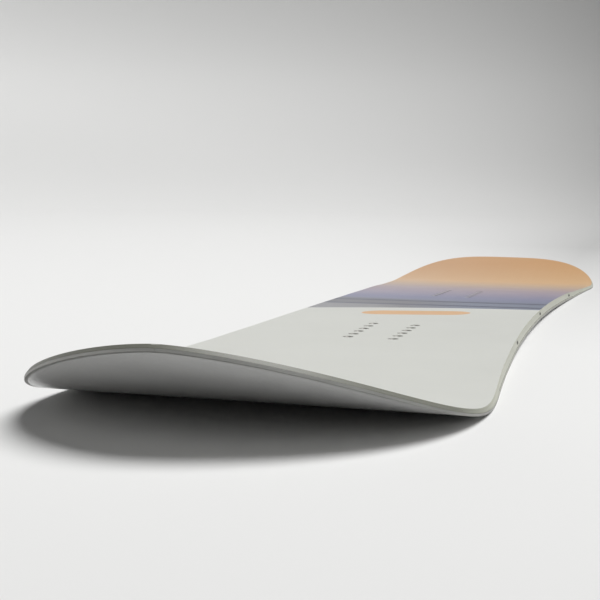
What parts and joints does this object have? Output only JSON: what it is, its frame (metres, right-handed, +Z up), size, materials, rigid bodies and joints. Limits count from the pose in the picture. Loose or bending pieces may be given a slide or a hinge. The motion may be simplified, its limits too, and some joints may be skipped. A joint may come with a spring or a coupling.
{
  "type": "snowboard",
  "caption": "Bare snowboard with a kicked rounded nose, a shorter blunt tail, light camber, a circular sidecut, bevelled sidewalls, full steel edges and threaded binding inserts.",
  "frame": {"origin": "midway between the two tips on the centre line, on the floor under the flat contact zones of the running base", "axes": "+X from nose to tail along the board, +Y towards the left-hand side seen from the nose, +Z up out of the topsheet"},
  "size_m": [1.4698, 0.2872, 0.0605],
  "materials": {
    "topsheet": "satin printed nylon",
    "laminate": "glass-fibre laminate",
    "light_wood": "planed poplar",
    "dark_wood": "planed beech",
    "sidewall": "milled",
    "tip_plastic": "milled",
    "rubber": "matte foil",
    "steel": "ground",
    "insert_steel": "turned",
    "base_plastic": "stone-ground",
    "plug": "moulded"
  },
  "bodies": {
    "root": {"base_sheet": "base_plastic", "lower_laminate": "laminate", "core_strip_1": "dark_wood", "core_strip_2": "light_wood", "core_strip_3": "dark_wood", "core_strip_4": "light_wood", "core_strip_5": "dark_wood", "core_strip_6": "light_wood", "core_strip_7": "dark_wood", "core_strip_8": "light_wood", "core_strip_9": "dark_wood", "steel_edge_left": "steel", "steel_edge_right": "steel", "damping_strip_left": "rubber", "damping_strip_right": "rubber", "sidewall_left": "sidewall", "sidewall_right": "sidewall", "sidewall_plug_left_1": "plug", "sidewall_plug_left_2": "plug", "sidewall_plug_left_3": "plug", "sidewall_plug_right_1": "plug", "sidewall_plug_right_2": "plug", "sidewall_plug_right_3": "plug", "nose_spacer": "tip_plastic", "tail_spacer": "tip_plastic", "front_insert_1": "insert_steel", "front_insert_2": "insert_steel", "front_insert_3": "insert_steel", "front_insert_4": "insert_steel", "front_insert_5": "insert_steel", "front_insert_6": "insert_steel", "front_insert_7": "insert_steel", "front_insert_8": "insert_steel", "front_insert_9": "insert_steel", "front_insert_10": "insert_steel", "front_insert_11": "insert_steel", "front_insert_12": "insert_steel", "rear_insert_1": "insert_steel", "rear_insert_2": "insert_steel", "rear_insert_3": "insert_steel", "rear_insert_4": "insert_steel", "rear_insert_5": "insert_steel", "rear_insert_6": "insert_steel", "rear_insert_7": "insert_steel", "rear_insert_8": "insert_steel", "rear_insert_9": "insert_steel", "rear_insert_10": "insert_steel", "rear_insert_11": "insert_steel", "rear_insert_12": "insert_steel", "upper_laminate": "laminate", "topsheet": "topsheet"}
  },
  "joints": []
}
